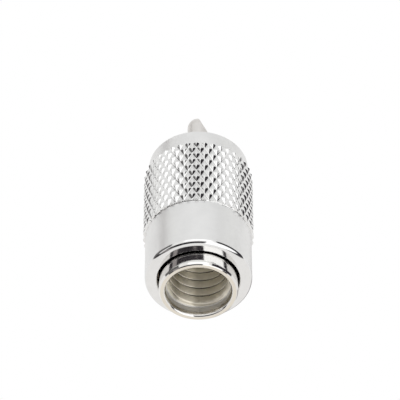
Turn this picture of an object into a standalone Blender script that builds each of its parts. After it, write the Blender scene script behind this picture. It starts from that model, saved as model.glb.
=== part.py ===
"""Screw-on radio frequency plug with a long knurled coupling ring.

The plug stands on its cable end: z = 0 is the flat rear rim of the cable barrel and +Z runs along
the axis towards the contact pin. Metres throughout.
"""
import math

import bmesh
import bpy
from mathutils import Vector

MM = 0.001

# Clearances
SEAT_GAP = 0.30 * MM          # between pieces that rest on or in each other
RUNNING_GAP = 0.30 * MM       # between the coupling ring and what turns inside it

# Radii are built up from the pin outwards, wall by wall
PIN_R = 1.92 * MM
PIN_WALL = 0.72 * MM
SLEEVE_WALL = 1.23 * MM       # insulator round the pin
SHOULDER_HEIGHT = 1.23 * MM   # step from the core's bore up to the jacket thread's crests
JACKET_GROOVE_DEPTH = 0.48 * MM
MOUTH_STEP = 0.04 * MM        # from the thread's grooves to the counterbore
BARREL_WALL = 1.25 * MM
LAND_HEIGHT = 0.40 * MM       # from the ring's bore to its thread's crests
THREAD_DEPTH = 0.49 * MM
REAR_BAND_WALL = 1.21 * MM    # over the thread's grooves
FRONT_BAND_WALL = 0.71 * MM

# Cable barrel: the rear end of the one-piece plug body
RIM_CHAMFER = 0.33 * MM
RIM_CHAMFER_LENGTH = 0.50 * MM
MOUTH_FLARE = 0.48 * MM       # how far the rounded edge widens the bore at the rim
MOUTH_FLARE_LENGTH = 1.15 * MM
MOUTH_DEPTH = 2.00 * MM

# Coarse thread that bites on the cable jacket
JACKET_PITCH = 1.90 * MM
JACKET_LENGTH = 9.60 * MM
JACKET_FLOOR = 0.30 * MM      # plain stretch between the last turn and the shoulder

# Coupling ring, outside
RING_Z = 2.75 * MM            # how far the barrel stands out behind the ring
RING_LENGTH = 28.65 * MM
REAR_EDGE_ROUND = 1.00 * MM
FRONT_EDGE_ROUND = 0.25 * MM
KNURL_START = 10.33 * MM      # behind it lies the smooth rear band
KNURL_DIAMONDS = 40
KNURL_ROWS = 9                # half diamonds along the ring between the first and last crossings
KNURL_HALF_PITCH = 1.456 * MM
KNURL_CUT = 0.81              # share of the next half diamond where the knurl is cut off in front
KNURL_DEPTH = 0.40 * MM
KNURL_CREST = 0.37 * MM       # height of the diamonds' tips above the rear band
KNURL_REAR_RUNOUT = 0.14 * MM
KNURL_FRONT_RUNOUT = 0.27 * MM

# Coupling ring, inside
LIP_LENGTH = 2.60 * MM
RING_TRAVEL = 6.60 * MM
LAND_LENGTH = 1.50 * MM
RING_BORE_CHAMFER = 0.30 * MM
THREAD_PITCH = 1.058 * MM
THREAD_LENGTH = 9.50 * MM
THREAD_MOUTH = 0.50 * MM      # plain stretch in front of the thread
MOUTH_CHAMFER = 0.20 * MM

# Split retaining ring that sits in the body's groove and holds the coupling ring
CLIP_THICKNESS = 0.90 * MM
CLIP_WIDTH = 1.20 * MM
CLIP_SEAT_DEPTH = 0.55 * MM   # how far the clip sinks into the body's groove
CLIP_SPLIT_DEG = 22.0

# Front cup of the body
CUP_LENGTH = 5.00 * MM
CUP_WALL = 1.00 * MM
CUP_DEPTH = 3.40 * MM
CUP_CHAMFER = 0.25 * MM
TOOTH_HEIGHT = 0.80 * MM
TOOTH_DEG = 18.0
TEETH = 2

# Insulator
DISC_THICKNESS = 2.60 * MM
SLEEVE_LENGTH = 6.00 * MM

# Centre pin
PIN_REACH = 17.15 * MM        # from the insulator's front face to the tip
COLLAR_RELIEF = 0.25 * MM     # how far the collar lies below the sleeve's outside
PIN_COLLAR_LENGTH = 1.20 * MM
PIN_TAIL_LENGTH = 2.20 * MM
PIN_BORE_STOP = 2.00 * MM     # solid metal left between the bore's end and the tip
SCOOP_R = 9.00 * MM
SCOOP_OFFSET = -0.22 * MM     # where the scoop meets the tip, from the axis
SCOOP_LENGTH = 4.20 * MM

# Facets. The ring has twice as many outside as inside, for its knurl.
BODY_SEGMENTS = 40
BORE_SEGMENTS = KNURL_DIAMONDS
RING_SEGMENTS = 2 * BORE_SEGMENTS
PIN_SEGMENTS = 32
SCOOP_SEGMENTS = 96
ROUND_STEPS = 4

# Radii that follow from those above
conductor_r = PIN_R - PIN_WALL
sleeve_bore_r = PIN_R + SEAT_GAP
sleeve_r = sleeve_bore_r + SLEEVE_WALL
core_r = sleeve_r + SEAT_GAP
collar_r = sleeve_r - COLLAR_RELIEF
jacket_crest_r = core_r + SHOULDER_HEIGHT
jacket_groove_r = jacket_crest_r + JACKET_GROOVE_DEPTH
mouth_r = jacket_groove_r + MOUTH_STEP
barrel_r = mouth_r + BARREL_WALL
ring_bore_r = barrel_r + RUNNING_GAP
thread_minor_r = ring_bore_r + LAND_HEIGHT
thread_major_r = thread_minor_r + THREAD_DEPTH
rear_band_r = thread_major_r + REAR_BAND_WALL
front_band_r = thread_major_r + FRONT_BAND_WALL
crest_r = rear_band_r + KNURL_CREST
clip_inner_r = barrel_r - CLIP_SEAT_DEPTH
clip_outer_r = clip_inner_r + CLIP_WIDTH
clip_space_r = clip_outer_r + RUNNING_GAP
groove_floor_r = clip_inner_r - SEAT_GAP
cup_r = thread_minor_r - RUNNING_GAP
cup_bore_r = cup_r - CUP_WALL

# Places along the axis
lip_z = RING_Z + LIP_LENGTH
land_z = lip_z + RING_TRAVEL + CLIP_THICKNESS + 2 * SEAT_GAP
relief_z = land_z + LAND_LENGTH
ring_front_z = RING_Z + RING_LENGTH
clip_z = land_z - SEAT_GAP - CLIP_THICKNESS
jacket_end_z = MOUTH_DEPTH + JACKET_LENGTH
core_z = jacket_end_z + JACKET_FLOOR
cup_z = relief_z + RING_TRAVEL + RUNNING_GAP
cup_front_z = cup_z + CUP_LENGTH
cup_seat_z = cup_front_z - CUP_DEPTH
disc_z = cup_seat_z + SEAT_GAP
disc_front_z = disc_z + DISC_THICKNESS
sleeve_z = disc_z - SLEEVE_LENGTH
collar_front_z = sleeve_z - SEAT_GAP
collar_z = collar_front_z - PIN_COLLAR_LENGTH
pin_tail_z = collar_z - PIN_TAIL_LENGTH
pin_tip_z = disc_front_z + PIN_REACH
knurl_z = RING_Z + KNURL_START


def metal(name, colour, roughness):
    """Principled material of a plated metal piece."""
    mat = bpy.data.materials.new(name)
    mat.use_nodes = True
    shader = mat.node_tree.nodes["Principled BSDF"]
    shader.inputs["Base Color"].default_value = (*colour, 1.0)
    shader.inputs["Metallic"].default_value = 1.0
    shader.inputs["Roughness"].default_value = roughness
    return mat


def plastic(name, colour, roughness):
    """Principled material of a plastic piece."""
    mat = metal(name, colour, roughness)
    mat.node_tree.nodes["Principled BSDF"].inputs["Metallic"].default_value = 0.0
    return mat


def circle(bm, r, z, count):
    """A ring of vertices, or a single one on the axis."""
    if r <= 0.0:
        return [bm.verts.new((0.0, 0.0, z))]
    step = 2.0 * math.pi / count
    return [bm.verts.new((r * math.cos(i * step), r * math.sin(i * step), z)) for i in range(count)]


def skin(bm, low, high):
    """Faces between two rings of vertices, as quads or as a fan to the axis."""
    count = max(len(low), len(high))
    for i in range(count):
        j = (i + 1) % count
        if len(low) == 1:
            bm.faces.new((low[0], high[j], high[i]))
        elif len(high) == 1:
            bm.faces.new((low[i], low[j], high[0]))
        else:
            bm.faces.new((low[i], low[j], high[j], high[i]))


def step_down(bm, many, few):
    """Faces between a ring of vertices and one of half as many."""
    for i, v in enumerate(few):
        after = few[(i + 1) % len(few)]
        corner = many[(2 * i + 2) % len(many)]
        bm.faces.new((many[2 * i], many[2 * i + 1], v))
        bm.faces.new((v, many[2 * i + 1], after))
        bm.faces.new((many[2 * i + 1], corner, after))


def arc(centre_r, centre_z, radius, start_deg, end_deg, steps=ROUND_STEPS):
    """Points of a profile along an arc, angles from +r towards +z."""
    points = []
    for i in range(steps + 1):
        a = math.radians(start_deg + (end_deg - start_deg) * i / steps)
        points.append((centre_r + radius * math.cos(a), centre_z + radius * math.sin(a)))
    return points


def flare(bore_r, width, depth, steps=2):
    """Points of a bore's rounded edge, a quarter of an ellipse from its rim at z = 0 inwards."""
    points = []
    for i in range(steps + 1):
        a = math.radians(90.0 * i / steps)
        points.append((bore_r + width * (1.0 - math.sin(a)), depth * (1.0 - math.cos(a))))
    return points


def turned(bm, profile, count):
    """Turns an open profile about the axis and returns its first and last rings."""
    rings = [circle(bm, r, z, count) for r, z in profile]
    for low, high in zip(rings, rings[1:]):
        skin(bm, low, high)
    return rings[0], rings[-1]


def finish(bm, name, mat, sharp_deg=30.0):
    """Makes the object of a closed mesh, with its faces pointing out."""
    bmesh.ops.recalc_face_normals(bm, faces=bm.faces[:])
    if bm.calc_volume(signed=True) < 0.0:
        bmesh.ops.reverse_faces(bm, faces=bm.faces[:])
    mesh = bpy.data.meshes.new(name)
    bm.to_mesh(mesh)
    bm.free()
    mesh.materials.append(mat)
    mesh.shade_smooth()
    mesh.set_sharp_from_angle(angle=math.radians(sharp_deg))
    obj = bpy.data.objects.new(name, mesh)
    bpy.context.collection.objects.link(obj)
    return obj


def threaded_wall(bm, low, high, z_low, z_high, crest_r, depth, pitch, turn):
    """Right-hand internal thread between two rings of vertices.

    turn is the profile from one groove's floor to the next, as (share of the pitch, share of the
    depth). Each row of vertices climbs one pitch a turn. Rows are held at the ends of the stretch,
    and the land between the grooves fades into the groove's own radius there.
    """
    count = len(low)
    rows = len(turn)
    held = 0.01 * pitch
    faded = 0.35 * pitch
    turns = int(math.ceil((z_high - z_low) / pitch)) + 1
    made = {}

    def vertex(i, j):
        if i >= count:
            return vertex(i - count, j + rows)
        share, deep = turn[j % rows]
        z = z_low + pitch * (j // rows + share + i / count - 1.0)
        if z <= z_low + held:
            return low[i]
        if z >= z_high - held:
            return high[i]
        if (i, j) not in made:
            fade = min(1.0, (z - z_low) / faded, (z_high - z) / faded)
            r = crest_r + depth * (1.0 - fade * (1.0 - deep))
            a = 2.0 * math.pi * i / count
            made[(i, j)] = bm.verts.new((r * math.cos(a), r * math.sin(a), z))
        return made[(i, j)]

    for j in range(0, rows * (turns + 1)):
        for i in range(count):
            corners = []
            for v in (vertex(i, j), vertex(i + 1, j), vertex(i + 1, j + 1), vertex(i, j + 1)):
                if v not in corners:
                    corners.append(v)
            if len(corners) > 2 and not all(v in high for v in corners):
                if not all(v in low for v in corners):
                    bm.faces.new(corners)


def plug_body(mat):
    """Cable barrel, groove for the retaining ring, neck and front cup, turned from one bar."""
    bm = bmesh.new()
    profile = [
        (jacket_groove_r, jacket_end_z),
        (jacket_groove_r, core_z),
        (core_r, core_z),
        (core_r, cup_seat_z),
        (cup_bore_r, cup_seat_z),
        (cup_bore_r, cup_front_z),
        (cup_r - CUP_CHAMFER, cup_front_z),
        (cup_r, cup_front_z - CUP_CHAMFER),
        (cup_r, cup_z + CUP_CHAMFER),
        (cup_r - CUP_CHAMFER, cup_z),
        (barrel_r, cup_z),
        (barrel_r, clip_z + CLIP_THICKNESS + SEAT_GAP),
        (groove_floor_r, clip_z + CLIP_THICKNESS + SEAT_GAP),
        (groove_floor_r, clip_z - SEAT_GAP),
        (barrel_r, clip_z - SEAT_GAP),
        (barrel_r, RIM_CHAMFER_LENGTH),
        (barrel_r - RIM_CHAMFER, 0.0),
        *flare(mouth_r, MOUTH_FLARE, MOUTH_FLARE_LENGTH),
        (mouth_r, MOUTH_DEPTH),
        (jacket_groove_r, MOUTH_DEPTH),
    ]
    inner_end, mouth_end = turned(bm, profile, BODY_SEGMENTS)
    jacket_turn = [(0.0, 1.0), (0.12, 0.14), (0.37, 0.01), (0.63, 0.01), (0.88, 0.14)]
    threaded_wall(bm, mouth_end, inner_end, MOUTH_DEPTH, jacket_end_z,
                  jacket_crest_r, JACKET_GROOVE_DEPTH, JACKET_PITCH, jacket_turn)

    # index teeth stand on the cup's rim
    bm.faces.ensure_lookup_table()
    half = math.radians(TOOTH_DEG) / 2.0
    for k in range(TEETH):
        at = math.pi / 2.0 + 2.0 * math.pi * k / TEETH
        rim = []
        for f in bm.faces:
            c = f.calc_center_median()
            if all(abs(v.co.z - cup_front_z) < 1e-7 for v in f.verts):
                turn = (math.atan2(c.y, c.x) - at + math.pi) % (2.0 * math.pi) - math.pi
                if abs(turn) < half:
                    rim.append(f)
        raised = bmesh.ops.extrude_face_region(bm, geom=rim)
        tops = [g for g in raised["geom"] if isinstance(g, bmesh.types.BMVert)]
        bmesh.ops.translate(bm, verts=tops, vec=Vector((0.0, 0.0, TOOTH_HEIGHT)))
        bmesh.ops.delete(bm, geom=rim, context="FACES")
    return finish(bm, "plug_body", mat)


def coupling_ring(mat):
    """Ring with a diamond knurl between two smooth bands, and its stepped and threaded inside."""
    bm = bmesh.new()
    thread_front_z = ring_front_z - THREAD_MOUTH
    thread_z = thread_front_z - THREAD_LENGTH
    mouth = [
        (thread_major_r + MOUTH_CHAMFER, ring_front_z),
        (thread_major_r, ring_front_z - MOUTH_CHAMFER),
        (thread_major_r, thread_front_z),
    ]
    inside = [
        (thread_major_r, thread_z),
        (thread_major_r, relief_z),
        (ring_bore_r, relief_z),
        (ring_bore_r, land_z),
        (clip_space_r, land_z),
        (clip_space_r, lip_z),
        (ring_bore_r, lip_z),
        (ring_bore_r, RING_Z + RING_BORE_CHAMFER),
        (ring_bore_r + RING_BORE_CHAMFER, RING_Z),
    ]
    outside_rear = [
        *arc(rear_band_r - REAR_EDGE_ROUND, RING_Z + REAR_EDGE_ROUND, REAR_EDGE_ROUND, -90.0, 0.0),
        (rear_band_r, knurl_z),
    ]
    front_edge, thread_front = turned(bm, mouth, BORE_SEGMENTS)
    thread_rear, rear_edge = turned(bm, inside, BORE_SEGMENTS)
    coupling_turn = [(0.0, 1.0), (0.38, 0.0), (0.62, 0.0)]
    threaded_wall(bm, thread_rear, thread_front, thread_z, thread_front_z,
                  thread_minor_r, THREAD_DEPTH, THREAD_PITCH, coupling_turn)
    rear_face, knurl_rear = turned(bm, outside_rear, RING_SEGMENTS)
    step_down(bm, rear_face, rear_edge)

    # The knurl's grooves cross where i + v is even on a lattice, and a raised diamond's tip stands
    # at each point between.
    step = 2.0 * math.pi / RING_SEGMENTS
    first = knurl_z + KNURL_REAR_RUNOUT
    last = first + (KNURL_ROWS + KNURL_CUT) * KNURL_HALF_PITCH
    lattice = []
    for v in (*range(KNURL_ROWS + 1), KNURL_ROWS + KNURL_CUT):
        ring = []
        for i in range(RING_SEGMENTS):
            to_tip = abs((i + v) % 2 - 1)
            r = crest_r - KNURL_DEPTH * to_tip
            ring.append(bm.verts.new((r * math.cos(i * step), r * math.sin(i * step),
                                      first + v * KNURL_HALF_PITCH)))
        lattice.append(ring)
    for row, (low, high) in enumerate(zip(lattice, lattice[1:])):
        for i in range(RING_SEGMENTS):
            j = (i + 1) % RING_SEGMENTS
            if (i + row) % 2 == 0:
                bm.faces.new((low[i], low[j], high[j]))
                bm.faces.new((low[i], high[j], high[i]))
            else:
                bm.faces.new((low[i], low[j], high[i]))
                bm.faces.new((low[j], high[j], high[i]))

    # it ends in a step at the rear band and a chamfer down to the front band
    skin(bm, knurl_rear, lattice[0])
    front_round = arc(front_band_r - FRONT_EDGE_ROUND, ring_front_z - FRONT_EDGE_ROUND,
                      FRONT_EDGE_ROUND, 0.0, 90.0, 2)
    outside_front = [(front_band_r, last + KNURL_FRONT_RUNOUT), *front_round]
    knurl_front, front_face = turned(bm, outside_front, RING_SEGMENTS)
    skin(bm, lattice[-1], knurl_front)
    step_down(bm, front_face, front_edge)
    return finish(bm, "coupling_ring", mat)


def retaining_ring(mat):
    """Split ring of square wire in the body's groove."""
    bm = bmesh.new()
    section = [(clip_inner_r, clip_z), (clip_outer_r, clip_z),
               (clip_outer_r, clip_z + CLIP_THICKNESS), (clip_inner_r, clip_z + CLIP_THICKNESS)]
    half = math.radians(CLIP_SPLIT_DEG) / 2.0
    verts = [bm.verts.new((r * math.cos(half), r * math.sin(half), z)) for r, z in section]
    face = bm.faces.new(verts)
    steps = BODY_SEGMENTS - 3
    bmesh.ops.spin(bm, geom=[face], cent=(0.0, 0.0, 0.0), axis=(0.0, 0.0, 1.0),
                   angle=2.0 * math.pi - 2.0 * half, steps=steps, use_merge=False,
                   use_duplicate=False)
    return finish(bm, "retaining_ring", mat)


def insulator(mat):
    """Disc in the front cup with a sleeve down the bore."""
    bm = bmesh.new()
    disc_r = cup_bore_r - SEAT_GAP
    profile = [(sleeve_bore_r, sleeve_z), (sleeve_r, sleeve_z), (sleeve_r, disc_z), (disc_r, disc_z),
               (disc_r, disc_front_z), (sleeve_bore_r, disc_front_z)]
    first, last = turned(bm, profile, BODY_SEGMENTS)
    skin(bm, last, first)
    return finish(bm, "insulator", mat)


def centre_pin(mat):
    """Hollow contact pin with a domed tip, scooped on one side."""
    bm = bmesh.new()
    bore_end_z = pin_tip_z - PIN_BORE_STOP
    profile = [
        (0.0, bore_end_z),
        (conductor_r, bore_end_z - 0.5 * conductor_r),
        (conductor_r, pin_tail_z),
        (PIN_R, pin_tail_z),
        (PIN_R, collar_z),
        (collar_r, collar_z),
        (collar_r, collar_front_z),
        (PIN_R, collar_front_z),
        *arc(0.0, pin_tip_z - PIN_R, PIN_R, 0.0, 90.0, 8)[:-1],
        (0.0, pin_tip_z),
    ]
    turned(bm, profile, PIN_SEGMENTS)
    pin = finish(bm, "centre_pin", mat)

    # The scoop is a cylinder across the pin. Its circle passes through the point where it meets
    # the tip and the point where it leaves the pin's side.
    top = Vector((SCOOP_OFFSET, pin_tip_z))
    low = Vector((PIN_R, pin_tip_z - SCOOP_LENGTH))
    chord = low - top
    rise = math.sqrt(SCOOP_R ** 2 - (chord.length / 2.0) ** 2)
    away = Vector((-chord.y, chord.x)).normalized()
    centre = (top + low) / 2.0 + away * rise
    width = 4.0 * PIN_R
    cut = bmesh.new()
    ends = []
    for y in (-width / 2.0, width / 2.0):
        ring = []
        for i in range(SCOOP_SEGMENTS):
            a = 2.0 * math.pi * i / SCOOP_SEGMENTS
            ring.append(cut.verts.new((centre.x + SCOOP_R * math.cos(a), y,
                                       centre.y + SCOOP_R * math.sin(a))))
        ends.append(ring)
    skin(cut, ends[0], ends[1])
    cut.faces.new(ends[0])
    cut.faces.new(ends[1][::-1])
    cutter = finish(cut, "scoop_cutter", mat)
    cutter.hide_render = True
    cutter.display_type = "WIRE"
    scoop = pin.modifiers.new("Scoop", "BOOLEAN")
    scoop.operation = "DIFFERENCE"
    scoop.object = cutter
    return pin


def main():
    for obj in list(bpy.data.objects):
        bpy.data.objects.remove(obj, do_unlink=True)
    body = plug_body(metal("nickel_plated_body", (0.83, 0.81, 0.78), 0.12))
    ring = coupling_ring(metal("satin_nickel_ring", (0.80, 0.80, 0.79), 0.32))
    clip = retaining_ring(metal("spring_bronze", (0.70, 0.50, 0.32), 0.30))
    disc = insulator(plastic("white_fluoropolymer", (0.90, 0.90, 0.88), 0.45))
    pin = centre_pin(metal("satin_nickel_pin", (0.78, 0.76, 0.74), 0.35))
    for inner in (disc, pin):
        inner.parent = body
    clip.parent = body
    ring.parent = clip


main()
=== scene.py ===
"""Looks of the plated coaxial plug: fine turned surfaces, knurl, threads and plating."""
import math

import bmesh
import bpy
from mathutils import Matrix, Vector


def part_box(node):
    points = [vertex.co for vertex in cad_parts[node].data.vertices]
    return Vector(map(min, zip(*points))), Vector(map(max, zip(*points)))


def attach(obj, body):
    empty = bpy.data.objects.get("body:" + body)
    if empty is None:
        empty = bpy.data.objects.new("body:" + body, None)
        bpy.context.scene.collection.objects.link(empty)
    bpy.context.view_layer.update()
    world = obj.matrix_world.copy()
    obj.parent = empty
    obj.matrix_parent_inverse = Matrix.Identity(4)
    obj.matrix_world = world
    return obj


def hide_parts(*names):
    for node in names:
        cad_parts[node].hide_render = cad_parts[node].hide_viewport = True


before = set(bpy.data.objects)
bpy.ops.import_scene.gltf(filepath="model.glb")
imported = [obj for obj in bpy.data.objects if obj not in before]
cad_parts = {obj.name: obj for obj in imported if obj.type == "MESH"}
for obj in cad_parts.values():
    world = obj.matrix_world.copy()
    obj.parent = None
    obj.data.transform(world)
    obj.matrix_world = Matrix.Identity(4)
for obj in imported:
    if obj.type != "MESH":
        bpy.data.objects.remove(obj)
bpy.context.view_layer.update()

MM = 0.001

# Sizes read from the frame
body_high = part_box("plug_body")[1]
ring_low, ring_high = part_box("coupling_ring")
clip_low, clip_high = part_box("retaining_ring")
disc_low, disc_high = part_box("insulator")
pin_low, pin_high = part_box("centre_pin")
ring_z = ring_low[2]
ring_front_z = ring_high[2]
crest_r = ring_high[0]
cup_r = body_high[0]
tooth_top_z = body_high[2]
pin_tip_z = pin_high[2]
pin_tail_z = pin_low[2]
disc_front_z = disc_high[2]
sleeve_z = disc_low[2]
clip_z = clip_low[2]
clip_front_z = clip_high[2]

# Sizes inside the pieces, as in the solids. Two are read from the photo's highlights instead.
SEAT_GAP = 0.30 * MM
JACKET_CREST_R = 4.98 * MM
JACKET_GROOVE_R = 5.46 * MM
JACKET_PITCH = 1.90 * MM
JACKET_LENGTH = 9.60 * MM
JACKET_FLOOR = 0.30 * MM
MOUTH_R = 5.50 * MM
MOUTH_DEPTH = 2.00 * MM
BARREL_R = 6.75 * MM
CORE_R = 3.75 * MM
RIM_CHAMFER = 0.33 * MM
RIM_CHAMFER_LENGTH = 0.50 * MM
MOUTH_FLARE = 0.48 * MM
MOUTH_FLARE_LENGTH = 1.15 * MM
CLIP_INNER_R = 6.20 * MM
CLIP_OUTER_R = 7.40 * MM
CLIP_SPLIT_DEG = 22.0
CLIP_EDGE = 0.10 * MM
CUP_WALL = 1.00 * MM
CUP_LENGTH = 5.00 * MM
CUP_DEPTH = 3.40 * MM
CUP_CHAMFER = 0.25 * MM
TOOTH_HEIGHT = 0.80 * MM
TOOTH_DEG = 18.0
TEETH = 2
REAR_BAND_R = 9.15 * MM
FRONT_BAND_R = 8.65 * MM
REAR_EDGE_ROUND = 0.85 * MM      # from the highlights; the solid's is 1.00 mm
FRONT_EDGE_ROUND = 0.25 * MM
KNURL_START = 10.33 * MM
KNURL_DIAMONDS = 40
KNURL_HALF_PITCH = 1.456 * MM
KNURL_LENGTH = 9.81 * KNURL_HALF_PITCH
KNURL_REAR_RUNOUT = 0.14 * MM
KNURL_FRONT_RUNOUT = 0.27 * MM
RING_BORE_R = 7.05 * MM
LIP_LENGTH = 2.60 * MM
RING_BORE_CHAMFER = 0.16 * MM    # from the highlights; the solid's is 0.30 mm
CLIP_SPACE_R = 7.70 * MM
LAND_LENGTH = 1.50 * MM
THREAD_MAJOR_R = 7.94 * MM
THREAD_MINOR_R = 7.45 * MM
THREAD_PITCH = 25.4 / 24.0 * MM
THREAD_LENGTH = 9.50 * MM
THREAD_MOUTH = 0.50 * MM
MOUTH_CHAMFER = 0.20 * MM
PIN_R = 1.92 * MM
COLLAR_R = 3.20 * MM
COLLAR_LENGTH = 1.20 * MM
CONDUCTOR_R = 1.20 * MM
PIN_BORE_STOP = 2.00 * MM
SCOOP_R = 9.00 * MM
SCOOP_OFFSET = -0.22 * MM
SCOOP_LENGTH = 4.20 * MM
DISC_CHAMFER = 0.20 * MM

# Places along the axis that follow from those above
cup_front_z = tooth_top_z - TOOTH_HEIGHT
cup_z = cup_front_z - CUP_LENGTH
cup_bore_r = cup_r - CUP_WALL
cup_seat_z = cup_front_z - CUP_DEPTH
jacket_end_z = MOUTH_DEPTH + JACKET_LENGTH
core_z = jacket_end_z + JACKET_FLOOR
lip_z = ring_z + LIP_LENGTH
land_z = clip_front_z + SEAT_GAP
relief_z = land_z + LAND_LENGTH
knurl_z = ring_z + KNURL_START
knurl_end_z = knurl_z + KNURL_REAR_RUNOUT + KNURL_LENGTH
disc_z = cup_seat_z + SEAT_GAP
collar_front_z = sleeve_z - SEAT_GAP
collar_z = collar_front_z - COLLAR_LENGTH

# Facets of the fine surfaces
BODY_SEGMENTS = 200
KNURL_FINE = 8                   # grid steps in half a diamond
RING_SEGMENTS = KNURL_FINE * 2 * KNURL_DIAMONDS
INSIDE_SHARE = 4                 # the ring has this many times fewer facets inside
PIN_SEGMENTS = 96
SCOOP_SEGMENTS = 360
CLIP_STEPS = 90
EDGE_ROUND = 0.05 * MM
BLUNT_DEG = 20.0                 # corners that turn by less aren't rounded

# The knurl's diamonds
GROOVE_DEPTH = 0.30 * MM         # below the flat tops
FLOOR_SHARE = 0.0625             # share of a half diamond that the groove's flat floor takes
WALL_SHARE = 0.5625              # and the sloping wall
RIDGE_ROUND = 0.08               # how softly two walls of a diamond meet
STEP_SHARE = 0.4                 # of the run-out that the step up from the rear band takes

# One turn of the jacket thread, in shares of its pitch and depth
JACKET_GROOVE_HALF = 0.12
JACKET_CROWN = 0.16              # how far a land falls towards its grooves
JACKET_WALL_CURVE = 1.3
JACKET_WALL_STEPS = 6
JACKET_LAND_STEPS = 10


def circle(bm, r, z, count):
    """A ring of vertices, or a single one on the axis."""
    if r <= 0.0:
        return [bm.verts.new((0.0, 0.0, z))]
    step = 2.0 * math.pi / count
    return [bm.verts.new((r * math.cos(i * step), r * math.sin(i * step), z)) for i in range(count)]


def skin(bm, low, high):
    """Faces between two rings of vertices, as quads or as a fan to the axis."""
    count = max(len(low), len(high))
    for i in range(count):
        j = (i + 1) % count
        if len(low) == 1:
            bm.faces.new((low[0], high[j], high[i]))
        elif len(high) == 1:
            bm.faces.new((low[i], low[j], high[0]))
        else:
            bm.faces.new((low[i], low[j], high[j], high[i]))


def arc(centre_r, centre_z, radius, start_deg, end_deg, steps=8):
    """Points of a profile along an arc, angles from +r towards +z."""
    points = []
    for i in range(steps + 1):
        a = math.radians(start_deg + (end_deg - start_deg) * i / steps)
        points.append((centre_r + radius * math.cos(a), centre_z + radius * math.sin(a)))
    return points


def flare(bore_r, width, depth, steps=12):
    """Points of a bore's rounded edge, a quarter of an ellipse from its rim at z = 0 inwards."""
    points = []
    for i in range(steps + 1):
        a = math.radians(90.0 * i / steps)
        points.append((bore_r + width * (1.0 - math.sin(a)), depth * (1.0 - math.cos(a))))
    return points


def rounded(profile, radius=EDGE_ROUND, steps=3):
    """The same profile with each sharp corner rounded, as machining and plating leave it."""
    points = [Vector(p) for p in profile]
    result = [profile[0]]
    for before, here, after in zip(points, points[1:], points[2:]):
        back = before - here
        on = after - here
        turn = math.pi - back.angle(on)
        if turn < math.radians(BLUNT_DEG):
            result.append(tuple(here))
            continue
        cut = min(radius * math.tan(turn / 2.0), 0.4 * back.length, 0.4 * on.length)
        start = here + back.normalized() * cut
        end = here + on.normalized() * cut
        flat = 0.4 * cut
        if back.length > 4.0 * cut:
            result.append(tuple(start + back.normalized() * flat))
        for i in range(steps + 1):
            t = i / steps
            result.append(tuple((1 - t) ** 2 * start + 2 * t * (1 - t) * here + t ** 2 * end))
        if on.length > 4.0 * cut:
            result.append(tuple(end + on.normalized() * flat))
    result.append(profile[-1])
    return result


def turned(bm, profile, count):
    """Turns an open profile about the axis and returns its first and last rings."""
    rings = [circle(bm, r, z, count) for r, z in profile]
    for low, high in zip(rings, rings[1:]):
        skin(bm, low, high)
    return rings[0], rings[-1]


def finish_mesh(bm, name, sharp_deg=25.0):
    """Makes the object of a closed mesh, with its faces pointing out."""
    bmesh.ops.recalc_face_normals(bm, faces=bm.faces[:])
    if bm.calc_volume(signed=True) < 0.0:
        bmesh.ops.reverse_faces(bm, faces=bm.faces[:])
    mesh = bpy.data.meshes.new(name)
    bm.to_mesh(mesh)
    bm.free()
    mesh.shade_smooth()
    mesh.set_sharp_from_angle(angle=math.radians(sharp_deg))
    obj = bpy.data.objects.new(name, mesh)
    bpy.context.collection.objects.link(obj)
    return obj


def threaded_wall(bm, low, high, z_low, z_high, crest, groove, pitch, turn, runout):
    """Right-hand internal thread between two rings of vertices.

    turn lists one turn of the profile as (share of the pitch, share of the depth). Rows of
    vertices climb one pitch a turn and are held at both ends of the stretch.
    """
    count = len(low)
    rows = len(turn)
    turns = int(math.ceil((z_high - z_low) / pitch)) + 1
    held = 0.01 * pitch
    low_ring = set(low)
    high_ring = set(high)
    made = {}

    def vertex(i, j):
        if i >= count:
            return vertex(i - count, j + rows)
        share, deep = turn[j % rows]
        z = z_low + pitch * (j // rows + share + i / count - 1.0)
        if z <= z_low + held:
            return low[i]
        if z >= z_high - held:
            return high[i]
        if (i, j) not in made:
            fade = min(1.0, (z - z_low) / (runout * pitch), (z_high - z) / (runout * pitch))
            r = groove - (groove - crest) * fade * (1.0 - deep)
            a = 2.0 * math.pi * i / count
            made[(i, j)] = bm.verts.new((r * math.cos(a), r * math.sin(a), z))
        return made[(i, j)]

    for j in range(0, rows * (turns + 1)):
        for i in range(count):
            corners = []
            for v in (vertex(i, j), vertex(i + 1, j), vertex(i + 1, j + 1), vertex(i, j + 1)):
                if v not in corners:
                    corners.append(v)
            if len(corners) < 3 or low_ring.issuperset(corners) or high_ring.issuperset(corners):
                continue
            bm.faces.new(corners)


def jacket_turn():
    """Coarse thread: broad crowned lands between narrow rounded grooves."""

    def wall(t):
        """Share of the depth on a groove's wall, from its floor at t = 0 to the land at t = 1."""
        return 1.0 - (1.0 - JACKET_CROWN) * math.sin(t * math.pi / 2.0) ** JACKET_WALL_CURVE

    points = []
    for i in range(JACKET_WALL_STEPS + 1):
        t = i / JACKET_WALL_STEPS
        points.append((JACKET_GROOVE_HALF * t, wall(t)))
    for i in range(1, JACKET_LAND_STEPS):
        t = i / JACKET_LAND_STEPS
        share = JACKET_GROOVE_HALF + (1.0 - 2.0 * JACKET_GROOVE_HALF) * t
        points.append((share, JACKET_CROWN * (2.0 * t - 1.0) ** 2))
    for i in range(JACKET_WALL_STEPS):
        t = 1.0 - i / JACKET_WALL_STEPS
        points.append((1.0 - JACKET_GROOVE_HALF * t, wall(t)))
    return points


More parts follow.
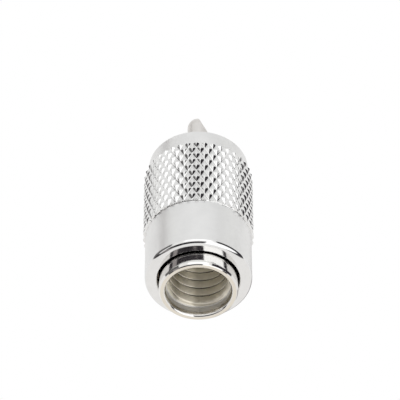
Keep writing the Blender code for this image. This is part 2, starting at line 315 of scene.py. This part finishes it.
def make_plug_body():
    """Barrel, jacket thread, clip groove, neck and front cup with its index teeth."""
    bm = bmesh.new()
    groove_floor_r = CLIP_INNER_R - SEAT_GAP
    profile = rounded([
        (JACKET_GROOVE_R, jacket_end_z),
        (JACKET_GROOVE_R, core_z),
        (CORE_R, core_z),
        (CORE_R, cup_seat_z),
        (cup_bore_r, cup_seat_z),
        (cup_bore_r, cup_front_z),
        (cup_r - CUP_CHAMFER, cup_front_z),
        (cup_r, cup_front_z - CUP_CHAMFER),
        (cup_r, cup_z + CUP_CHAMFER),
        (cup_r - CUP_CHAMFER, cup_z),
        (BARREL_R, cup_z),
        (BARREL_R, clip_front_z + SEAT_GAP),
        (groove_floor_r, clip_front_z + SEAT_GAP),
        (groove_floor_r, clip_z - SEAT_GAP),
        (BARREL_R, clip_z - SEAT_GAP),
        (BARREL_R, RIM_CHAMFER_LENGTH),
        (BARREL_R - 0.5 * RIM_CHAMFER, 0.25 * RIM_CHAMFER_LENGTH),
        (BARREL_R - RIM_CHAMFER, 0.0),
        *flare(MOUTH_R, MOUTH_FLARE, MOUTH_FLARE_LENGTH),
        (MOUTH_R, MOUTH_DEPTH),
        (JACKET_GROOVE_R, MOUTH_DEPTH),
    ])
    inner_end, mouth_end = turned(bm, profile, BODY_SEGMENTS)
    threaded_wall(bm, mouth_end, inner_end, MOUTH_DEPTH, jacket_end_z,
                  JACKET_CREST_R, JACKET_GROOVE_R, JACKET_PITCH, jacket_turn(), 0.35)
    half = math.radians(TOOTH_DEG) / 2.0
    for k in range(TEETH):
        at = math.pi / 2.0 + 2.0 * math.pi * k / TEETH
        rim = []
        for f in bm.faces:
            c = f.calc_center_median()
            if all(abs(v.co.z - cup_front_z) < 1e-7 for v in f.verts):
                turn = (math.atan2(c.y, c.x) - at + math.pi) % (2.0 * math.pi) - math.pi
                if abs(turn) < half:
                    rim.append(f)
        raised = bmesh.ops.extrude_face_region(bm, geom=rim)
        tops = [g for g in raised["geom"] if isinstance(g, bmesh.types.BMVert)]
        bmesh.ops.translate(bm, verts=tops, vec=Vector((0.0, 0.0, TOOTH_HEIGHT)))
        bmesh.ops.delete(bm, geom=rim, context="FACES")
    return finish_mesh(bm, "plug_body_fine")


def make_coupling_ring():
    """Ring with a diamond knurl between two smooth bands, and its stepped and threaded inside."""
    bm = bmesh.new()
    inside_segments = RING_SEGMENTS // INSIDE_SHARE
    thread_front_z = ring_front_z - THREAD_MOUTH
    thread_z = thread_front_z - THREAD_LENGTH
    mouth = rounded([
        (THREAD_MAJOR_R + 2.0 * MOUTH_CHAMFER, ring_front_z),
        (THREAD_MAJOR_R + MOUTH_CHAMFER, ring_front_z),
        (THREAD_MAJOR_R, ring_front_z - MOUTH_CHAMFER),
        (THREAD_MAJOR_R, thread_front_z),
    ])
    inside = rounded([
        (THREAD_MAJOR_R, thread_z),
        (THREAD_MAJOR_R, relief_z),
        (RING_BORE_R, relief_z),
        (RING_BORE_R, land_z),
        (CLIP_SPACE_R, land_z),
        (CLIP_SPACE_R, lip_z),
        (RING_BORE_R, lip_z),
        (RING_BORE_R, ring_z + RING_BORE_CHAMFER),
        (RING_BORE_R + RING_BORE_CHAMFER, ring_z),
        (RING_BORE_R + 1.5 * RING_BORE_CHAMFER, ring_z),
    ])
    outside_rear = [
        *arc(REAR_BAND_R - REAR_EDGE_ROUND, ring_z + REAR_EDGE_ROUND, REAR_EDGE_ROUND, -90.0, 0.0, 12),
        (REAR_BAND_R, ring_z + 1.2 * REAR_EDGE_ROUND),
        (REAR_BAND_R, knurl_z - EDGE_ROUND),
        (REAR_BAND_R, knurl_z),
    ]
    outside_front = [
        (FRONT_BAND_R, knurl_end_z + KNURL_FRONT_RUNOUT),
        (FRONT_BAND_R, knurl_end_z + KNURL_FRONT_RUNOUT + EDGE_ROUND),
        (FRONT_BAND_R, ring_front_z - 1.2 * FRONT_EDGE_ROUND),
        *arc(FRONT_BAND_R - FRONT_EDGE_ROUND, ring_front_z - FRONT_EDGE_ROUND,
             FRONT_EDGE_ROUND, 0.0, 90.0, 5),
    ]
    mouth_face, thread_front = turned(bm, mouth, inside_segments)
    thread_rear, rear_edge = turned(bm, inside, inside_segments)
    thread_turn = [(0.0, 1.0), (0.06, 1.0), (0.19, 0.5), (0.44, 0.0), (0.62, 0.0), (0.87, 0.5), (0.94, 1.0)]
    threaded_wall(bm, thread_rear, thread_front, thread_z, thread_front_z,
                  THREAD_MINOR_R, THREAD_MAJOR_R, THREAD_PITCH, thread_turn, 0.6)
    rear_face, knurl_rear = turned(bm, outside_rear, RING_SEGMENTS)
    knurl_front, front_face = turned(bm, outside_front, RING_SEGMENTS)
    knurl(bm, knurl_rear, knurl_front)
    step_down(bm, rear_face, rear_edge)
    step_down(bm, front_face, mouth_face)
    return finish_mesh(bm, "coupling_ring_fine", 18.0)


def step_down(bm, fine, coarse):
    """Flat face between two rings of vertices, where the outer one has several times as many."""
    share = len(fine) // len(coarse)
    for i, corner in enumerate(coarse):
        around = [fine[(i * share + k) % len(fine)] for k in range(share + 1)]
        for one, other in zip(around, around[1:]):
            bm.faces.new((corner, one, other))
        bm.faces.new((corner, around[-1], coarse[(i + 1) % len(coarse)]))


def knurl(bm, rear, front):
    """The knurled wall between two rings of vertices, on a fine grid.

    In lattice units, u counts half diamonds round the ring and v along it. Straight grooves run
    where u + v or u - v is even, and between them each diamond rises in four walls to a flat top.
    """
    first = knurl_z + KNURL_REAR_RUNOUT
    step = STEP_SHARE * KNURL_REAR_RUNOUT
    end_v = KNURL_LENGTH / KNURL_HALF_PITCH
    levels = [k / KNURL_FINE for k in range(math.ceil(end_v * KNURL_FINE - 0.3))] + [end_v]
    rings = [circle(bm, REAR_BAND_R + step, knurl_z + step, RING_SEGMENTS)]
    skin(bm, rear, rings[0])
    for v in levels:
        ring = []
        for i in range(RING_SEGMENTS):
            u = i / KNURL_FINE - 0.5
            a = abs((u + v) / 2.0 - round((u + v) / 2.0)) * 2.0
            b = abs((u - v) / 2.0 - round((u - v) / 2.0)) * 2.0
            into = 0.5 * (a + b - math.sqrt((a - b) ** 2 + RIDGE_ROUND * a * b)) - FLOOR_SHARE
            r = crest_r - GROOVE_DEPTH * (1.0 - max(0.0, min(1.0, into / WALL_SHARE)))
            t = 2.0 * math.pi * i / RING_SEGMENTS
            ring.append(bm.verts.new((r * math.cos(t), r * math.sin(t), first + v * KNURL_HALF_PITCH)))
        rings.append(ring)
    skin(bm, rings[0], rings[1])
    for v, low, high in zip(levels, rings[1:], rings[2:]):
        row = math.floor(v + 0.1 / KNURL_FINE)
        for i in range(RING_SEGMENTS):
            j = (i + 1) % RING_SEGMENTS
            if ((i - KNURL_FINE // 2) // KNURL_FINE + row) % 2 == 0:
                bm.faces.new((low[i], low[j], high[j]))
                bm.faces.new((low[i], high[j], high[i]))
            else:
                bm.faces.new((low[i], low[j], high[i]))
                bm.faces.new((low[j], high[j], high[i]))
    skin(bm, rings[-1], front)


def make_retaining_ring():
    """Split ring of square wire with slightly rounded edges."""
    bm = bmesh.new()
    inner_r, outer_r, edge = CLIP_INNER_R, CLIP_OUTER_R, CLIP_EDGE
    section = [
        (inner_r + edge, clip_z), (outer_r - edge, clip_z),
        (outer_r, clip_z + edge), (outer_r, clip_front_z - edge),
        (outer_r - edge, clip_front_z), (inner_r + edge, clip_front_z),
        (inner_r, clip_front_z - edge), (inner_r, clip_z + edge),
    ]
    half = math.radians(CLIP_SPLIT_DEG) / 2.0
    verts = [bm.verts.new((r * math.cos(half), r * math.sin(half), z)) for r, z in section]
    face = bm.faces.new(verts)
    bmesh.ops.spin(bm, geom=[face], cent=(0.0, 0.0, 0.0), axis=(0.0, 0.0, 1.0),
                   angle=2.0 * math.pi - 2.0 * half, steps=CLIP_STEPS, use_merge=False,
                   use_duplicate=False)
    return finish_mesh(bm, "retaining_ring_fine")


def make_insulator():
    """Machined disc with a sleeve and a small chamfer at its front edge."""
    bm = bmesh.new()
    bore_r = PIN_R + SEAT_GAP
    sleeve_r = CORE_R - SEAT_GAP
    disc_r = cup_bore_r - SEAT_GAP
    profile = rounded([
        (bore_r, sleeve_z), (sleeve_r, sleeve_z), (sleeve_r, disc_z), (disc_r, disc_z),
        (disc_r, disc_front_z - DISC_CHAMFER), (disc_r - DISC_CHAMFER, disc_front_z),
        (bore_r, disc_front_z),
    ])
    first, last = turned(bm, profile, BODY_SEGMENTS)
    skin(bm, last, first)
    return finish_mesh(bm, "insulator_fine")


def make_centre_pin():
    """Hollow pin with a domed tip, scooped on the +X side."""
    bm = bmesh.new()
    bore_end_z = pin_tip_z - PIN_BORE_STOP
    straight = rounded([
        (CONDUCTOR_R, bore_end_z - 0.5 * CONDUCTOR_R),
        (CONDUCTOR_R, pin_tail_z),
        (PIN_R, pin_tail_z),
        (PIN_R, collar_z),
        (COLLAR_R, collar_z),
        (COLLAR_R, collar_front_z),
        (PIN_R, collar_front_z),
        (PIN_R, pin_tip_z - PIN_R),
    ])
    profile = [(0.0, bore_end_z), *straight, *arc(0.0, pin_tip_z - PIN_R, PIN_R, 0.0, 90.0, 24)[1:-1],
               (0.0, pin_tip_z)]
    turned(bm, profile, PIN_SEGMENTS)
    pin = finish_mesh(bm, "centre_pin_fine")

    top = Vector((SCOOP_OFFSET, pin_tip_z))
    low = Vector((PIN_R, pin_tip_z - SCOOP_LENGTH))
    chord = low - top
    rise = math.sqrt(SCOOP_R ** 2 - (chord.length / 2.0) ** 2)
    centre = (top + low) / 2.0 + Vector((-chord.y, chord.x)).normalized() * rise
    cut = bmesh.new()
    ends = []
    for y in (-2.0 * PIN_R, 2.0 * PIN_R):
        ring = []
        for i in range(SCOOP_SEGMENTS):
            a = 2.0 * math.pi * i / SCOOP_SEGMENTS
            ring.append(cut.verts.new((centre.x + SCOOP_R * math.cos(a), y,
                                       centre.y + SCOOP_R * math.sin(a))))
        ends.append(ring)
    skin(cut, ends[0], ends[1])
    cut.faces.new(ends[0])
    cut.faces.new(ends[1][::-1])
    cutter = finish_mesh(cut, "scoop_cutter")
    scoop = pin.modifiers.new("Scoop", "BOOLEAN")
    scoop.operation = "DIFFERENCE"
    scoop.object = cutter
    with_scoop = bpy.data.meshes.new_from_object(pin.evaluated_get(bpy.context.evaluated_depsgraph_get()))
    pin.modifiers.remove(scoop)
    pin.data = with_scoop
    pin.data.set_sharp_from_angle(angle=math.radians(25.0))
    bpy.data.objects.remove(cutter, do_unlink=True)
    return pin


class Nodes:
    """Short calls for building a node tree."""

    def __init__(self, tree):
        self.tree = tree
        tree.nodes.clear()

    def node(self, kind, **values):
        """A new node with these settings."""
        made = self.tree.nodes.new(kind)
        for name, value in values.items():
            setattr(made, name, value)
        return made

    def feed(self, socket, value):
        """Links a socket to another node's output, or gives it a constant."""
        if isinstance(value, bpy.types.NodeSocket):
            self.tree.links.new(value, socket)
        else:
            socket.default_value = value

    def math(self, operation, a, b=0.0, clamp=False):
        made = self.node("ShaderNodeMath", operation=operation, use_clamp=clamp)
        self.feed(made.inputs[0], a)
        self.feed(made.inputs[1], b)
        return made.outputs[0]

    def ramp(self, value, low, high, to_low=0.0, to_high=1.0, smooth=True):
        """From to_low where the value is low to to_high where it is high."""
        made = self.node("ShaderNodeMapRange", interpolation_type="SMOOTHSTEP" if smooth else "LINEAR")
        self.feed(made.inputs["Value"], value)
        self.feed(made.inputs["From Min"], low)
        self.feed(made.inputs["From Max"], high)
        self.feed(made.inputs["To Min"], to_low)
        self.feed(made.inputs["To Max"], to_high)
        return made.outputs["Result"]

    def window(self, value, low, high, soft):
        """1 between low and high, 0 outside, with soft edges."""
        up = self.ramp(value, low - soft, low + soft)
        down = self.ramp(value, high - soft, high + soft, 1.0, 0.0)
        return self.math("MULTIPLY", up, down)

    def mix(self, factor, a, b):
        made = self.node("ShaderNodeMix", data_type="RGBA")
        self.feed(made.inputs["Factor"], factor)
        self.feed(made.inputs["A"], a)
        self.feed(made.inputs["B"], b)
        return made.outputs["Result"]

    def combine(self, x, y, z):
        made = self.node("ShaderNodeCombineXYZ")
        for socket, value in zip(made.inputs, (x, y, z)):
            self.feed(socket, value)
        return made.outputs[0]

    def noise(self, vector, scale, detail=2.0, roughness=0.5):
        made = self.node("ShaderNodeTexNoise")
        self.feed(made.inputs["Vector"], vector)
        made.inputs["Scale"].default_value = scale
        made.inputs["Detail"].default_value = detail
        made.inputs["Roughness"].default_value = roughness
        return made.outputs["Fac"]

    def turned_coordinates(self):
        """Object coordinates in millimetres: position, and (distance from the axis, height, angle)."""
        coordinates = self.node("ShaderNodeTexCoord").outputs["Object"]
        scaled = self.node("ShaderNodeVectorMath", operation="SCALE")
        self.feed(scaled.inputs[0], coordinates)
        scaled.inputs["Scale"].default_value = 1.0 / MM
        parts = self.node("ShaderNodeSeparateXYZ")
        self.feed(parts.inputs[0], scaled.outputs[0])
        x, y, z = parts.outputs
        r = self.math("SQRT", self.math("ADD", self.math("MULTIPLY", x, x), self.math("MULTIPLY", y, y)))
        angle = self.math("ARCTAN2", y, x)
        return scaled.outputs[0], self.combine(r, z, angle), r, z


def plated(name, colour, shade, rough_low, rough_high, lines, line_height, grain, grain_height,
           finish=None):
    """Plated metal: faint cloudiness, uneven polish, turning lines round the axis and fine grain.

    colour and shade are the tints of its clouds. lines and grain are noise scales per millimetre,
    with their heights in millimetres. finish takes the nodes, the distance from the axis, the
    height, the tint and the roughness. It returns the tint and roughness there, how strongly the
    lines and the grain show, and how far tool marks round the axis spread the reflections along it.
    """
    mat = bpy.data.materials.new(name)
    mat.use_nodes = True
    n = Nodes(mat.node_tree)
    place, polar, r, z = n.turned_coordinates()
    shader = n.node("ShaderNodeBsdfPrincipled")
    out = n.node("ShaderNodeOutputMaterial")
    n.feed(out.inputs["Surface"], shader.outputs[0])
    shader.inputs["Metallic"].default_value = 1.0

    cloud = n.ramp(n.noise(place, 0.35, 3.0, 0.55), 0.35, 0.65)
    tint = n.mix(cloud, (*shade, 1.0), (*colour, 1.0))
    polish = n.noise(place, 1.6, 4.0, 0.6)
    rough = n.ramp(polish, 0.3, 0.7, rough_low, rough_high)
    strength = 1.0
    if finish:
        tint, rough, strength, spread = finish(n, r, z, tint, rough)
        n.feed(shader.inputs["Anisotropic"], spread)
        round_axis = n.node("ShaderNodeTangent", direction_type="RADIAL", axis="Z")
        n.feed(shader.inputs["Tangent"], round_axis.outputs[0])
        shader.inputs["Anisotropic Rotation"].default_value = 0.25
    n.feed(shader.inputs["Base Color"], tint)
    n.feed(shader.inputs["Roughness"], rough)

    stretched = n.node("ShaderNodeVectorMath", operation="MULTIPLY")
    n.feed(stretched.inputs[0], polar)
    stretched.inputs[1].default_value = (1.0, 1.0, 0.15)
    normal = None
    for height, size in ((n.noise(place, grain, 2.0, 0.6), grain_height),
                         (n.noise(stretched.outputs[0], lines, 2.0, 0.7), line_height)):
        bump = n.node("ShaderNodeBump")
        n.feed(bump.inputs["Strength"], strength)
        bump.inputs["Distance"].default_value = size * MM
        n.feed(bump.inputs["Height"], height)
        if normal:
            n.feed(bump.inputs["Normal"], normal)
        normal = bump.outputs[0]
    n.feed(shader.inputs["Normal"], normal)
    return mat


# Finishes within one plating: roughness, a brass-cream tint on the rim, paler tints inside as painted light,
# and painted shade in the bore's grooves
BRIGHT_ROUGH = 0.09
BORE_ROUGH = 0.36
WALL_ROUGH = 0.70
# brass-cream tint of the rim's flat
RIM_TINT = (0.78, 0.71, 0.58)
# Painted light: the bore (also warmer) and the wall by the mouth are paler than the plating outside
BORE_TINT_PAINTED_LIGHT = (0.99, 0.94, 0.82)
WALL_TINT_PAINTED_LIGHT = (0.95, 0.94, 0.92)
# painted shade in the bore's thread grooves
GROOVE_PAINTED_SHADE = (0.20, 0.17, 0.12)
RIM_TINT_SHARE = 0.6                   # how strongly the rim's flat takes the brass-cream tint


def ring_finish(n, r, z, tint, rough):
    """Bright rear face and edge round, and bright walls between the knurl's satin flats."""
    round_end = (ring_z + REAR_EDGE_ROUND) / MM
    bore_wall = THREAD_MAJOR_R / MM
    rear = n.ramp(z, round_end - 0.05, round_end - 0.12)
    along = n.window(z, knurl_z / MM, knurl_end_z / MM, 0.02)
    walls = n.ramp(r, crest_r / MM - 0.01, crest_r / MM - 0.03)
    inside = n.ramp(r, bore_wall + 0.26, bore_wall + 0.16)
    bright = n.math("MAXIMUM", n.math("MAXIMUM", rear, n.math("MULTIPLY", along, walls)), inside)
    rough = n.math("ADD", rough, n.math("MULTIPLY", bright, n.math("SUBTRACT", BRIGHT_ROUGH, rough)))
    return tint, rough, n.ramp(bright, 0.0, 1.0, 1.0, 0.12), 0.0


def body_finish(n, r, z, tint, rough):
    """Bright outside and mouth. The rim's flat is tinted brass-cream, the bore and the wall by the mouth
    take paler tints as painted light, and the bore's grooves are darkened as painted shade.
    """
    mouth_r = MOUTH_R / MM
    flare_z = MOUTH_FLARE_LENGTH / MM
    thread_z = MOUTH_DEPTH / MM
    groove_r = JACKET_GROOVE_R / MM
    # the rim's flat takes a brass-cream tint
    rim = n.math("MULTIPLY", n.ramp(z, 0.035, 0.015), RIM_TINT_SHARE)
    inside = n.ramp(r, mouth_r + 0.05, mouth_r - 0.04)
    bore = n.math("MULTIPLY", inside, n.ramp(z, 0.4 * flare_z, 0.6 * flare_z))
    wall = n.ramp(z, thread_z + 0.2, thread_z)
    bore_rough = n.ramp(wall, 0.0, 1.0, BORE_ROUGH, WALL_ROUGH)
    rough = n.math("ADD", rough, n.math("MULTIPLY", bore, n.math("SUBTRACT", bore_rough, rough)))
    tint = n.mix(rim, tint, (*RIM_TINT, 1.0))
    # painted light: paler tints inside the bore and on the wall by the mouth
    tint = n.mix(inside, tint, n.mix(wall, (*BORE_TINT_PAINTED_LIGHT, 1.0), (*WALL_TINT_PAINTED_LIGHT, 1.0)))
    # Painted shade: the tint darkens in the jacket thread's grooves, where shade falls
    deep = n.ramp(r, groove_r - 0.38, groove_r - 0.24)
    grooves = n.math("MULTIPLY", deep, n.window(z, thread_z + 0.8, jacket_end_z / MM, 0.1))
    tint = n.mix(n.math("MULTIPLY", grooves, inside), tint, (*GROOVE_PAINTED_SHADE, 1.0))
    return tint, rough, n.ramp(bore, 0.0, 1.0, 0.12, 0.04), bore


def fluoropolymer():
    """White machined plastic with faint turning lines."""
    mat = bpy.data.materials.new("white_fluoropolymer")
    mat.use_nodes = True
    n = Nodes(mat.node_tree)
    place, polar, _, _ = n.turned_coordinates()
    shader = n.node("ShaderNodeBsdfPrincipled")
    out = n.node("ShaderNodeOutputMaterial")
    n.feed(out.inputs["Surface"], shader.outputs[0])
    cloud = n.noise(place, 0.6, 3.0, 0.5)
    n.feed(shader.inputs["Base Color"],
           n.mix(cloud, (0.80, 0.80, 0.78, 1.0), (0.88, 0.88, 0.86, 1.0)))
    n.feed(shader.inputs["Roughness"], n.ramp(n.noise(place, 2.0), 0.3, 0.7, 0.38, 0.52))
    shader.inputs["Subsurface Weight"].default_value = 0.1
    shader.inputs["Subsurface Radius"].default_value = (0.001, 0.001, 0.001)
    turning = n.noise(polar, 6.0, 2.0, 0.6)
    bump = n.node("ShaderNodeBump")
    bump.inputs["Distance"].default_value = 0.01 * MM
    n.feed(bump.inputs["Height"], turning)
    n.feed(shader.inputs["Normal"], bump.outputs[0])
    return mat


# The light tent round the plug, as its plating mirrors it. Places are (azimuth, polar) in degrees:
# azimuth 0 is -Y, the photographed plug's up, 90 is +X, and polar is the angle from +Z.
TENT = (0.95, 0.95, 0.94)
TABLE = (0.93, 0.915, 0.90)
TABLE_AHEAD = (0.93, 0.925, 0.92)
CLOTH = (0.87, 0.87, 0.87)
PANEL = (1.35, 1.35, 1.35)
DARK = (0.035, 0.031, 0.036)
SHADE = (0.15, 0.145, 0.145)
DIM = (0.36, 0.33, 0.33)


def studio_world():
    """White to the camera. To the plating it is a light tent, with its openings and soft panels."""
    world = bpy.data.worlds.new("studio")
    bpy.context.scene.world = world
    world.use_nodes = True
    n = Nodes(world.node_tree)
    parts = n.node("ShaderNodeSeparateXYZ")
    n.feed(parts.inputs[0], n.node("ShaderNodeTexCoord").outputs["Generated"])
    x, y, forward = parts.outputs
    up = n.math("MULTIPLY", y, -1.0)
    degree = 180.0 / math.pi
    azimuth = n.math("MULTIPLY", n.math("ARCTAN2", x, up), degree)
    polar = n.math("MULTIPLY", n.math("ARCCOSINE", forward), degree)

    def patch(under, colour, azimuths, polars, soft=1.5, soft_polar=3.0):
        inside = n.math("MULTIPLY", n.window(azimuth, *azimuths, soft), n.window(polar, *polars, soft_polar))
        return n.mix(inside, under, (*colour, 1.0))

    table = n.mix(n.ramp(forward, -0.15, 0.15), (*TABLE, 1.0), (*TABLE_AHEAD, 1.0))
    tent = n.mix(n.ramp(up, 0.03, -0.03), (*TENT, 1.0), table)
    tent = patch(tent, DIM, (-87.0, -76.0), (25.0, 62.0), 3.0, 6.0)

    # beside the plug: a panel overhead, and dark openings on both sides of it
    tent = patch(tent, CLOTH, (-50.0, 50.0), (10.0, 57.0), 8.0)
    tent = patch(tent, PANEL, (-26.0, 26.0), (58.0, 94.0), 4.0)
    tent = patch(tent, DARK, (34.0, 93.0), (58.0, 97.0))
    tent = patch(tent, SHADE, (-94.0, -50.0), (58.0, 97.0))
    tent = patch(tent, DIM, (139.0, 175.0), (46.0, 80.0))

    # behind the camera: a dark opening, a panel to its right, and dark edges low on both sides
    tent = patch(tent, PANEL, (15.5, 76.0), (95.0, 158.0))
    tent = patch(tent, DARK, (-66.0, 15.5), (112.0, 152.0))
    blur = n.ramp(n.noise(n.node("ShaderNodeTexCoord").outputs["Generated"], 7.0, 3.0, 0.6), 0.56, 0.68)
    things = n.mix(n.math("MULTIPLY", blur, n.window(polar, 118.0, 148.0, 5.0)), tent, (*DIM, 1.0))
    tent = n.mix(n.window(azimuth, -62.0, 12.0, 5.0), tent, things)
    tent = patch(tent, DARK, (78.0, 91.0), (95.0, 150.0))
    tent = patch(tent, DARK, (-93.0, -79.0), (95.0, 150.0))
    tent = patch(tent, DIM, (-79.0, -66.0), (112.0, 150.0))

    seen = n.node("ShaderNodeLightPath").outputs["Is Camera Ray"]
    background = n.node("ShaderNodeBackground")
    n.feed(background.inputs["Color"], n.mix(seen, tent, (1.0, 1.0, 1.0, 1.0)))
    background.inputs["Strength"].default_value = 1.0
    out = n.node("ShaderNodeOutputWorld")
    n.feed(out.inputs["Surface"], background.outputs[0])


# Floor under the rim, all but white to the camera far from the plug
FLOOR_HALF = 2.0
FLOOR_Z = -0.02 * MM
FLOOR_FADE_MM = (60.0, 220.0)


def studio_floor():
    """Pale floor under the rim. It is seen from above only, and the plug's light passes it."""
    bm = bmesh.new()
    half = FLOOR_HALF
    corners = [(-half, -half), (half, -half), (half, half), (-half, half)]
    bm.faces.new([bm.verts.new((x, y, FLOOR_Z)) for x, y in corners])
    mesh = bpy.data.meshes.new("floor")
    bm.to_mesh(mesh)
    bm.free()
    floor = bpy.data.objects.new("floor", mesh)
    bpy.context.collection.objects.link(floor)
    mat = bpy.data.materials.new("pale_floor")
    mat.use_nodes = True
    n = Nodes(mat.node_tree)
    place, _, r, _ = n.turned_coordinates()
    grain = n.noise(place, 0.8, 3.0, 0.5)
    diffuse = n.node("ShaderNodeBsdfDiffuse")
    n.feed(diffuse.inputs["Color"], n.mix(grain, (0.86, 0.86, 0.855, 1.0), (0.90, 0.90, 0.895, 1.0)))
    white = n.node("ShaderNodeEmission")
    white.inputs["Color"].default_value = (1.0, 1.0, 1.0, 1.0)
    away = n.node("ShaderNodeMixShader")
    n.feed(away.inputs["Fac"], n.ramp(r, *FLOOR_FADE_MM))
    n.feed(away.inputs[1], diffuse.outputs[0])
    n.feed(away.inputs[2], white.outputs[0])
    clear = n.node("ShaderNodeBsdfTransparent")
    seen = n.node("ShaderNodeLightPath").outputs["Is Camera Ray"]
    front = n.math("SUBTRACT", 1.0, n.node("ShaderNodeNewGeometry").outputs["Backfacing"])
    mix = n.node("ShaderNodeMixShader")
    n.feed(mix.inputs["Fac"], n.math("MULTIPLY", seen, front))
    n.feed(mix.inputs[1], clear.outputs[0])
    n.feed(mix.inputs[2], away.outputs[0])
    out = n.node("ShaderNodeOutputMaterial")
    n.feed(out.inputs["Surface"], mix.outputs[0])
    mesh.materials.append(mat)


# Lamp overhead, in metres and watts
KEY_SIZE = 0.25
KEY_POWER = 1.2
KEY_PLACE = (-0.12, -0.16, 0.35)
KEY_AIM = (0.0, 0.0, 0.02)


def key_light():
    """Soft lamp overhead. It shapes the floor's shadow and isn't mirrored in the plating."""
    lamp = bpy.data.lights.new("key", "AREA")
    lamp.shape = "DISK"
    lamp.size = KEY_SIZE
    lamp.energy = KEY_POWER
    obj = bpy.data.objects.new("key", lamp)
    obj.location = KEY_PLACE
    obj.rotation_euler = (Vector(KEY_AIM) - obj.location).to_track_quat("-Z", "Y").to_euler()
    obj.visible_glossy = False
    obj.visible_camera = False
    bpy.context.collection.objects.link(obj)


# Camera fitted to the photograph
CAMERA_PITCH_DEG = 43.35
CAMERA_DISTANCE = 600.0 * MM
CAMERA_OVER_Z = 15.0 * MM
AIM_Z = 23.05 * MM
FOCAL_PX = 3480.0
IMAGE_PX = 400.0
AXIS_PX = 198.4                  # the plug's axis across the image
SENSOR_MM = 36.0


def photo_camera():
    """Camera behind the cable end and above the axis, as in the photograph."""
    data = bpy.data.cameras.new("photo_camera")
    data.sensor_width = SENSOR_MM
    data.lens = FOCAL_PX / IMAGE_PX * SENSOR_MM
    data.shift_x = (IMAGE_PX / 2.0 - AXIS_PX) / IMAGE_PX
    data.clip_start = 0.01
    data.clip_end = 10.0
    camera = bpy.data.objects.new("photo_camera", data)
    pitch = math.radians(CAMERA_PITCH_DEG)
    camera.location = (0.0, -CAMERA_DISTANCE * math.sin(pitch),
                       CAMERA_OVER_Z - CAMERA_DISTANCE * math.cos(pitch))
    aim = Vector((0.0, 0.0, AIM_Z)) - camera.location
    camera.rotation_euler = aim.to_track_quat("-Z", "Y").to_euler()
    bpy.context.collection.objects.link(camera)
    bpy.context.scene.camera = camera


def install(piece, node, body, material):
    """Puts a fine piece in its node's place, on its body and with its material."""
    piece.data.materials.clear()
    piece.data.materials.append(material)
    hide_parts(node)
    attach(piece, body)


polished = plated("polished_plate", (0.84, 0.83, 0.81), (0.80, 0.79, 0.77), 0.06, 0.11,
                  lines=5.0, line_height=0.004, grain=9.0, grain_height=0.006, finish=body_finish)
satin = plated("satin_plate", (0.83, 0.83, 0.825), (0.80, 0.80, 0.795), 0.30, 0.38,
               lines=8.0, line_height=0.003, grain=14.0, grain_height=0.003, finish=ring_finish)
pin_plate = plated("pin_plate", (0.78, 0.76, 0.74), (0.72, 0.70, 0.67), 0.34, 0.44,
                   lines=6.0, line_height=0.004, grain=12.0, grain_height=0.003)
# Spring bronze, darkened beyond its own tone as painted shade where the clip shows in the gap behind the
# ring
bronze = plated("spring_bronze", (0.34, 0.26, 0.19), (0.26, 0.20, 0.15), 0.35, 0.48,
                lines=5.0, line_height=0.004, grain=10.0, grain_height=0.003)

install(make_plug_body(), "plug_body", "plug", polished)
install(make_insulator(), "insulator", "plug", fluoropolymer())
install(make_centre_pin(), "centre_pin", "plug", pin_plate)
install(make_retaining_ring(), "retaining_ring", "clip", bronze)
install(make_coupling_ring(), "coupling_ring", "ring", satin)

studio_world()
studio_floor()
key_light()
photo_camera()
bpy.context.scene.view_settings.view_transform = "Standard"
